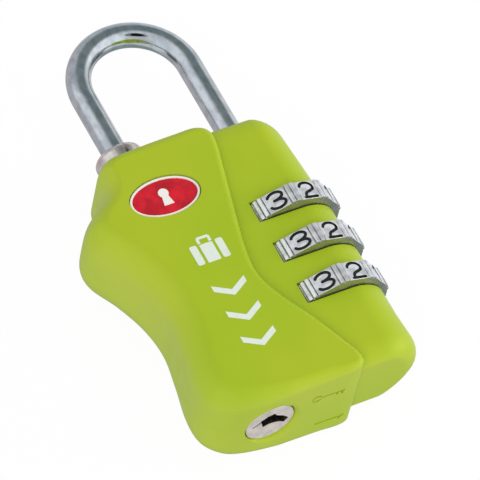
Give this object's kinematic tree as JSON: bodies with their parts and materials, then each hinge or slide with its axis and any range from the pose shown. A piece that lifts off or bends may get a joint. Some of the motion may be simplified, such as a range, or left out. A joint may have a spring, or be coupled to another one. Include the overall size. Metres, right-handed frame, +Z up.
{
  "type": "luggage padlock",
  "caption": "Small luggage padlock: a wavy two-level body with number dials on one side, a steel wire shackle on top and a key core in the bottom end.",
  "frame": {"origin": "on the flat bottom end, midway between the shackle's two legs, in the middle of the body's thickness", "axes": "+Z up along the shackle's legs, +X towards the dials, -Y out of the front face"},
  "size_m": [0.0351, 0.0156, 0.0654],
  "materials": {
    "green_shell": "satin",
    "chrome_wire": "polished",
    "dial_silver": "satin",
    "sleeve_brass": "machined",
    "core_nickel": "polished",
    "inner_steel": "plain",
    "badge_red": "gloss"
  },
  "bodies": {
    "housing": {"front_shell": "green_shell", "back_shell": "green_shell", "badge": "badge_red", "detent_spring": "inner_steel", "shackle_spring": "inner_steel", "shell_pin_1": "inner_steel", "shell_pin_2": "inner_steel", "shell_pin_3": "inner_steel", "shell_pin_4": "inner_steel"},
    "shackle": {"shackle": "chrome_wire", "gate_spindle": "inner_steel", "shackle_clip": "inner_steel"},
    "dial_top": {"dial_top": "dial_silver", "sleeve_top": "sleeve_brass"},
    "dial_middle": {"dial_middle": "dial_silver", "sleeve_middle": "sleeve_brass"},
    "dial_bottom": {"dial_bottom": "dial_silver", "sleeve_bottom": "sleeve_brass"},
    "key_core": {"key_plug": "core_nickel", "release_collar": "core_nickel", "drive_bar": "inner_steel", "plug_clip": "inner_steel", "wafer_1": "sleeve_brass", "wafer_2": "sleeve_brass", "wafer_3": "sleeve_brass", "wafer_4": "sleeve_brass"}
  },
  "joints": [
    {"name": "shackle_lift", "type": "slide", "parent": "housing", "child": "shackle", "axis": [0, 0, 1], "range_m": [0, 0.00688], "deforming": ["shackle_spring"]},
    {"name": "dial_top_turn", "type": "hinge", "parent": "housing", "child": "dial_top", "pos_m": [0.008, 0, 0.02744], "axis": [0, 0, 1], "continuous": true},
    {"name": "dial_middle_turn", "type": "hinge", "parent": "housing", "child": "dial_middle", "pos_m": [0.008, 0, 0.02056], "axis": [0, 0, 1], "continuous": true},
    {"name": "dial_bottom_turn", "type": "hinge", "parent": "housing", "child": "dial_bottom", "pos_m": [0.008, 0, 0.01368], "axis": [0, 0, 1], "continuous": true},
    {"name": "key_turn", "type": "hinge", "parent": "housing", "child": "key_core", "pos_m": [-0.008, 0, 0.01], "axis": [0, 0, 1], "range_deg": [0, 90]}
  ]
}
